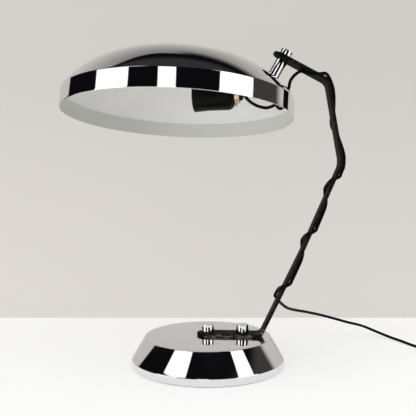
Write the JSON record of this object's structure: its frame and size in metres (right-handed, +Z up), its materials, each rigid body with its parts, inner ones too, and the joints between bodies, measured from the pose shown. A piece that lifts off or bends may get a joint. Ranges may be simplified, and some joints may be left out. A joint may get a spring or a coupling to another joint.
{
  "type": "dome desk lamp",
  "caption": "Desk lamp with a polished dome shade that turns on a bent flat arm, a round weighted base, thumb nuts, a screw lampholder and a lead wound round the arm to a coiled cord.",
  "frame": {"origin": "middle of the underside of the round base, on the table", "axes": "+Z up, the shade reaches towards -X, the free cord lies towards +X, +Y is away from the viewer of the picture"},
  "size_m": [0.5985, 0.3171, 0.4034],
  "materials": {
    "chrome_base": "mirror polished chrome plate on steel",
    "iron": "bare casting",
    "felt": "dense felt",
    "zinc_steel": "zinc plated",
    "chrome_knobs": "turned and chrome plated",
    "black_strip": "satin black enamel",
    "fibre": "vulcanised fibre",
    "chrome_shade": "mirror polished chrome plate outside, matt white enamel inside",
    "bracket_steel": "plain plated",
    "brass": "plain turned and drawn",
    "black_holder": "glossy moulded phenolic",
    "ceramic": "glazed ceramic",
    "black_rubber": "smooth",
    "black_lead": "smooth flexible sheath",
    "grey_tie": "thin strip",
    "black_plastic": "moulded",
    "rocker_plastic": "moulded",
    "plated_pins": "nickel plated"
  },
  "bodies": {
    "base": {"base_shell": "chrome_base", "base_weight": "iron", "base_pad": "felt", "base_studs": "zinc_steel", "base_washers": "zinc_steel", "base_nuts": "zinc_steel", "arm_strip": "black_strip", "lead_loop": "black_lead", "lead_wrap": "black_lead", "cord_run": "black_lead", "cord_coil": "black_lead", "cord_tie": "grey_tie", "cord_tail": "black_lead", "cord_end": "black_lead", "switch_lower": "black_plastic", "switch_upper": "black_plastic", "plug_body": "black_plastic", "plug_pins": "plated_pins"},
    "shade": {"shade_stud": "zinc_steel", "friction_washer": "fibre", "shade_post": "chrome_knobs", "shade_shell": "chrome_shade", "inner_spacer": "zinc_steel", "holder_bracket": "bracket_steel", "bracket_washer": "zinc_steel", "bracket_nut": "zinc_steel", "nipple_ring": "brass", "holder_nipple": "brass", "holder_cap": "black_holder", "holder_skirt": "black_holder", "holder_insert": "ceramic", "screw_shell": "brass", "centre_contact": "brass", "terminal_screws": "zinc_steel", "cord_gland": "black_holder", "lock_screw": "zinc_steel", "lead_grommet": "black_rubber", "lead_inner": "black_lead"},
    "knob_left": {"knob_left": "chrome_knobs"},
    "knob_right": {"knob_right": "chrome_knobs"},
    "shade_knob": {"shade_knob": "chrome_knobs"},
    "rocker": {"switch_rocker": "rocker_plastic"}
  },
  "joints": [
    {"name": "shade_swivel", "type": "hinge", "parent": "base", "child": "shade", "pos_m": [0.09557, 0, 0.38813], "axis": [0.4909, 0, 0.8712], "range_deg": [-38, 52], "deforming": ["lead_loop"]},
    {"name": "knob_left_turn", "type": "hinge", "parent": "base", "child": "knob_left", "pos_m": [0, 0, 0.0393], "axis": [0, 0, 1], "continuous": true},
    {"name": "knob_right_turn", "type": "hinge", "parent": "base", "child": "knob_right", "pos_m": [0.044, 0, 0.0393], "axis": [0, 0, 1], "continuous": true},
    {"name": "shade_knob_turn", "type": "hinge", "parent": "shade", "child": "shade_knob", "pos_m": [0.09557, 0, 0.38813], "axis": [0.4909, 0, 0.8712], "continuous": true},
    {"name": "rocker_throw", "type": "hinge", "parent": "base", "child": "rocker", "pos_m": [0.303, -0.042, 0.014], "axis": [-1, 0, 0], "range_deg": [0, 14]}
  ]
}
